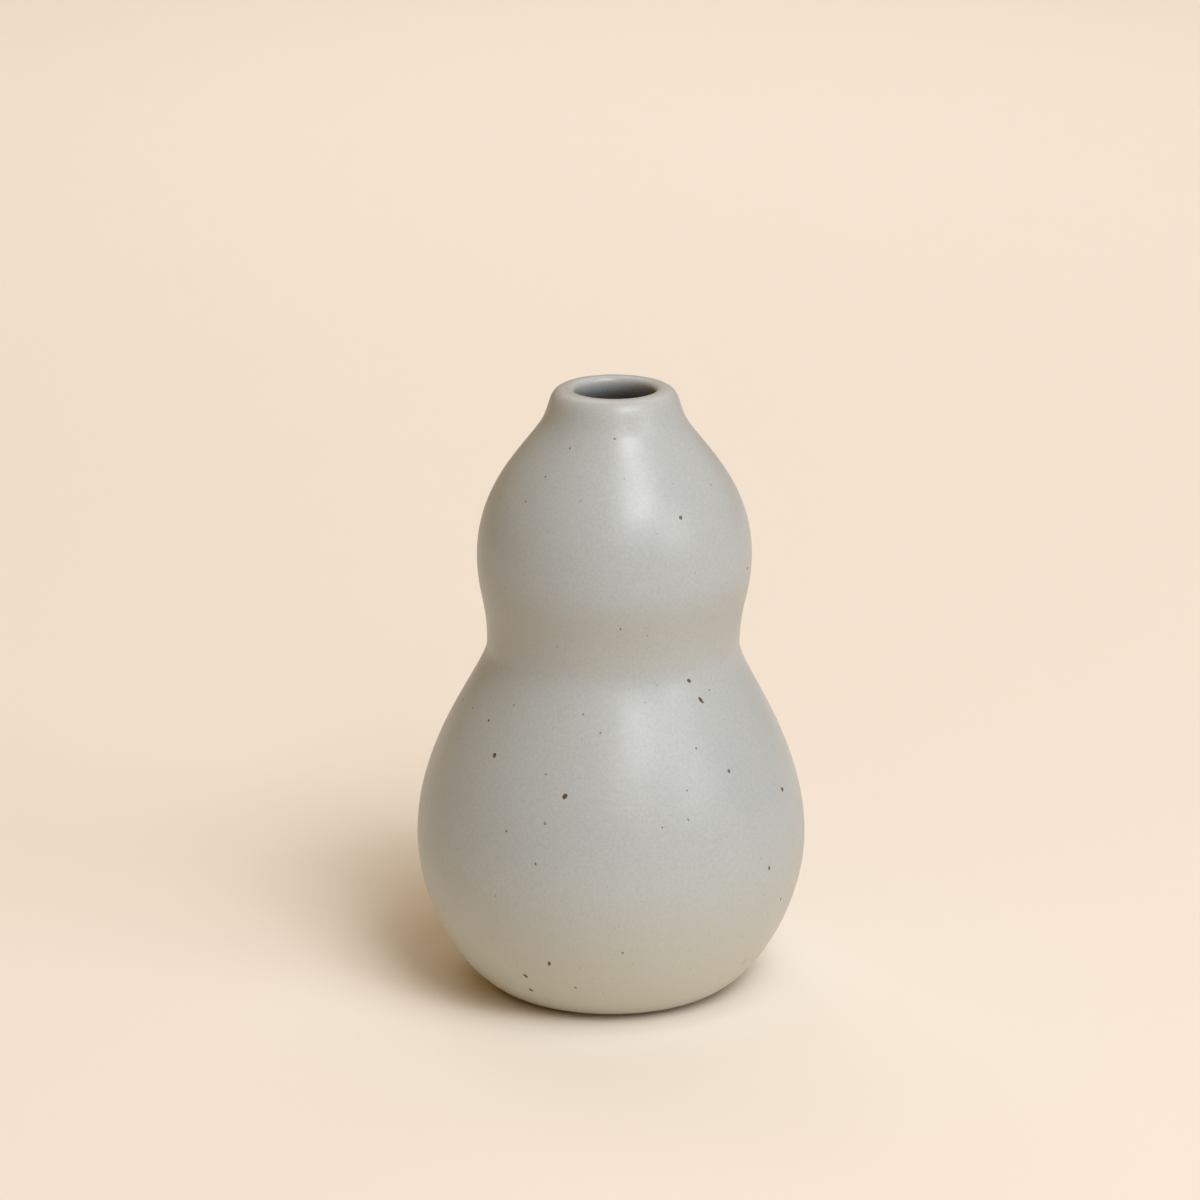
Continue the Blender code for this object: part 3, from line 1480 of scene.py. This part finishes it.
@dataclass(frozen=True)
class SoftBox:
    """A rectangular softbox aimed at the vase.

    Attributes:
        name: The light's name.
        around: Its angle round the vase in degrees, 0 in front and 90 on the right.
        above: Its angle above the horizon in degrees.
        width: Its width.
        height: Its height.
        power: Its power in watts.
        distance: How far it is from what it is aimed at.
        aim: The place that it is aimed at, counted from the vase's axis to the right and back.
        spread: The angle that its grid lets the light leave in, in degrees.
    """

    name: str
    around: float
    above: float
    width: float
    height: float
    power: float
    distance: float = 3.0
    aim: tuple[float, float] = (0.0, 0.0)
    spread: float = 180.0

    def hang(self, target_height: float) -> None:
        """Hang the light.

        Args:
            target_height: The height that it is aimed at.
        """
        turn, lift = math.radians(self.around), math.radians(self.above)
        towards = Vector(
            (math.sin(turn) * math.cos(lift), -math.cos(turn) * math.cos(lift), math.sin(lift))
        )
        target = Vector((*self.aim, target_height))
        bpy.ops.object.select_all(action="DESELECT")
        bpy.ops.object.light_add(type="AREA", location=target + towards * self.distance)
        lamp = bpy.context.active_object
        lamp.name = lamp.data.name = self.name
        lamp.rotation_euler = (-towards).to_track_quat("-Z", "Y").to_euler()
        lamp.data.shape = "RECTANGLE"
        lamp.data.size, lamp.data.size_y = self.width, self.height
        lamp.data.energy = self.power
        lamp.data.spread = math.radians(self.spread)


@dataclass(frozen=True)
class Studio:
    """A paper-covered table before a plain backdrop, softboxes and the camera.

    Attributes:
        table_radius: The radius of the round table that the vase stands on.
        table_thickness: How thick its top is.
        table_sides: How many straight stretches stand for its round edge.
        edge_steps: How many steps round the top's edge off.
        sharp: Edges that turn by more than this angle stay crisp, in radians.
        paper: The colour of the paper on it.
        paper_roughness: How rough the paper is.
        paper_gloss: How much the paper reflects.
        backdrop: The colour of the backdrop beyond it.
        camera_distance: How far in front of the vase the camera stands.
        camera_height: How high it stands.
        camera_side: How far it stands to the right.
        aim_height: The height on the vase's axis that it looks at.
        lens: Its focal length in millimetres.
        film_width: The width of its film in millimetres.
        ambient: The colour of the light from all round.
        ambient_strength: The strength of that light.
        lights: The softboxes.
    """

    table_radius: float = 1.6
    table_thickness: float = 0.04
    table_sides: int = 128
    edge_steps: int = 4
    sharp: float = math.radians(40)
    paper: Colour = (0.820, 0.784, 0.750, 1.0)
    paper_roughness: float = 0.9
    paper_gloss: float = 0.2
    backdrop: Colour = (0.80, 0.68, 0.56, 1.0)
    camera_distance: float = 1.077
    camera_height: float = 0.4222
    camera_side: float = -2.5 * MM
    aim_height: float = 0.09045
    lens: float = 150.0
    film_width: float = 36.0
    ambient: Colour = (1.0, 0.60, 0.14, 1.0)
    ambient_strength: float = 0.31
    lights: tuple[SoftBox, ...] = (
        SoftBox("key_softbox", around=29.0, above=47.0, width=1.25, height=1.1, power=38.5),
        SoftBox("high_bank", around=42.0, above=65.0, width=1.5, height=1.5, power=28.5),
        SoftBox("side_fill", around=56.0, above=24.0, width=1.3, height=1.3, power=16.0),
        SoftBox("front_fill", around=15.0, above=30.0, width=1.1, height=1.1, power=9.7),
        SoftBox("back_left_fill", around=-158.0, above=50.0, width=1.35, height=1.35, power=7.0),
        SoftBox("back_right_fill", around=150.0, above=45.0, width=1.35, height=1.35, power=5.0),
        SoftBox(
            "backdrop_light",
            around=180.0,
            above=86.0,
            width=0.8,
            height=0.8,
            power=2.1,
            distance=1.6,
            aim=(0.0, 1.2),
            spread=80.0,
        ),
    )

    def build(self) -> None:
        """Set up the table, the lights, the camera and the colour of the air."""
        self._table()
        for light in self.lights:
            light.hang(self.aim_height)
        self._camera()
        self._ambient()
        view = bpy.context.scene.view_settings
        view.view_transform = "Standard"
        view.look = "None"

    def _table(self) -> bpy.types.Object:
        """The paper-covered table: a wide round top with a rounded, turned-down edge.

        Returns:
            The table.
        """
        bpy.ops.object.select_all(action="DESELECT")
        bpy.ops.mesh.primitive_circle_add(
            vertices=self.table_sides,
            radius=self.table_radius,
            fill_type="NGON",
            location=(0.0, 0.0, 0.0),
        )
        table = bpy.context.active_object
        table.name = table.data.name = "paper_table"
        bpy.ops.object.mode_set(mode="EDIT")
        bpy.ops.mesh.select_all(action="SELECT")
        drop = (0.0, 0.0, -self.table_thickness)
        bpy.ops.mesh.extrude_region_move(TRANSFORM_OT_translate={"value": drop})
        bpy.ops.mesh.select_all(action="SELECT")
        bpy.ops.mesh.normals_make_consistent(inside=False)
        bpy.ops.object.mode_set(mode="OBJECT")
        rounding = table.modifiers.new("rounded_edge", "BEVEL")
        rounding.width = self.table_thickness / 2
        rounding.segments = self.edge_steps
        bpy.ops.object.modifier_apply(modifier=rounding.name)
        bpy.ops.object.shade_smooth_by_angle(angle=self.sharp)
        paper = Surface("cream_paper").dress(
            Base_Color=self.paper,
            Roughness=self.paper_roughness,
            Specular_IOR_Level=self.paper_gloss,
        )
        table.data.materials.append(paper)
        return table

    def _camera(self) -> None:
        """The camera, in front of the vase and above it."""
        place = Vector((self.camera_side, -self.camera_distance, self.camera_height))
        aim = Vector((self.camera_side, 0.0, self.aim_height))
        bpy.ops.object.select_all(action="DESELECT")
        bpy.ops.object.camera_add(location=place)
        camera = bpy.context.active_object
        camera.name = camera.data.name = "product_camera"
        camera.rotation_euler = (aim - place).to_track_quat("-Z", "Y").to_euler()
        camera.data.lens = self.lens
        camera.data.sensor_width = self.film_width
        bpy.context.scene.camera = camera

    def _ambient(self) -> None:
        """The dim even light from all round, and the pale backdrop that the camera sees behind it."""
        world = bpy.data.worlds.new("studio_air")
        bpy.context.scene.world = world
        world.use_nodes = True
        tree = world.node_tree
        air = tree.nodes["Background"]
        feed(tree, air.inputs["Color"], self.ambient)
        feed(tree, air.inputs["Strength"], self.ambient_strength)
        backdrop = add_node(tree, "ShaderNodeBackground", {"Color": self.backdrop})
        seen = add_node(tree, "ShaderNodeLightPath").outputs["Is Camera Ray"]
        inputs = {"Fac": seen, 1: air.outputs["Background"], 2: backdrop.outputs["Background"]}
        choice = add_node(tree, "ShaderNodeMixShader", inputs)
        feed(tree, tree.nodes["World Output"].inputs["Surface"], choice.outputs["Shader"])


def glaze_and_bounce_rings(outline: VaseOutline) -> tuple[ThinGlazeAndBounceRing, ...]:
    """Thin glaze at the mouth's edge, the glaze line and the crest; painted bounce at the waist.

    Args:
        outline: The vase's glazed shape.

    Returns:
        The rings.
    """
    # buff paints warm bounce light at the waist; oatmeal is the crest's thin glaze.
    buff, oatmeal = (0.42, 0.385, 0.29, 1.0), (0.56, 0.55, 0.53, 1.0)
    line_radius = outline.foot_edge_radius + 2.0 * MM
    waist_radius, waist_height = outline.waist_radius + 1.0 * MM, outline.waist_height + 9.1 * MM
    crest_radius = outline.lip_radius + 1.5 * MM
    return (
        ThinGlazeAndBounceRing(outline.mouth_radius, outline.mouth_edge_height, reach=0.45 * MM, strength=0.3),
        ThinGlazeAndBounceRing(line_radius, outline.glaze_line, reach=1.4 * MM, strength=0.6),
        # Painted warm bounce light from the floor, under the upper bulb.
        ThinGlazeAndBounceRing(waist_radius, waist_height, reach=15.0 * MM, strength=0.26, below=buff),
        ThinGlazeAndBounceRing(crest_radius, outline.height, reach=3.0 * MM, strength=0.2, below=oatmeal),
    )


def main() -> None:
    """Build the vase from the clay outwards, then the studio round it."""
    logging.basicConfig(level=logging.INFO, format="%(name)s: %(message)s")
    _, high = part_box("outer_glaze")
    outline = VaseOutline(height=high.z, belly_radius=high.x)
    coats = GlazeCoats(outline)
    outer, liner, base = coats.build_outer(), coats.build_liner(), coats.build_base()
    clay = ClayBody(outline).build()
    specks = IronSpecks(outer).build()
    hand = MakersHand(outline.height)
    hand.soften((outer, liner, base, clay, specks))
    effects = Effects()
    outside = SatinGlaze(
        "satin_glaze_outside_painted_bounce", rings=glaze_and_bounce_rings(outline), marks=(SoftMark(),), lean=hand.lean
    )
    # The liner's own colour, darkened further to paint the shade inside the vase.
    inside = SatinGlaze(
        "satin_glaze_inside_painted_shade",
        colour=(0.235, 0.262, 0.278, 1.0),
        thin_colour=(0.250, 0.276, 0.288, 1.0),
        crowd=0.2,
        painted_bounce_from=0.0,
        painted_bounce_to=-10.0 * MM,
    )
    finishes = (
        (outer, outside),
        (liner, inside),
        (base, SatinGlaze("satin_glaze_base", crowd=0.3)),
        (clay, FiredClay("bare_clay")),
        (specks, MeltedIron("melted_iron")),
    )
    for piece, finish in finishes:
        piece.data.materials.append(finish.make(effects))
    attach(outer, Slot.SATIN, "outer_glaze")
    attach(liner, Slot.LINER, "liner_glaze")
    attach(base, Slot.SATIN, "base_glaze")
    attach(clay, Slot.CLAY, "clay_body")
    attach(specks, Slot.SATIN)
    Studio().build()


if __name__ == "__main__":
    main()
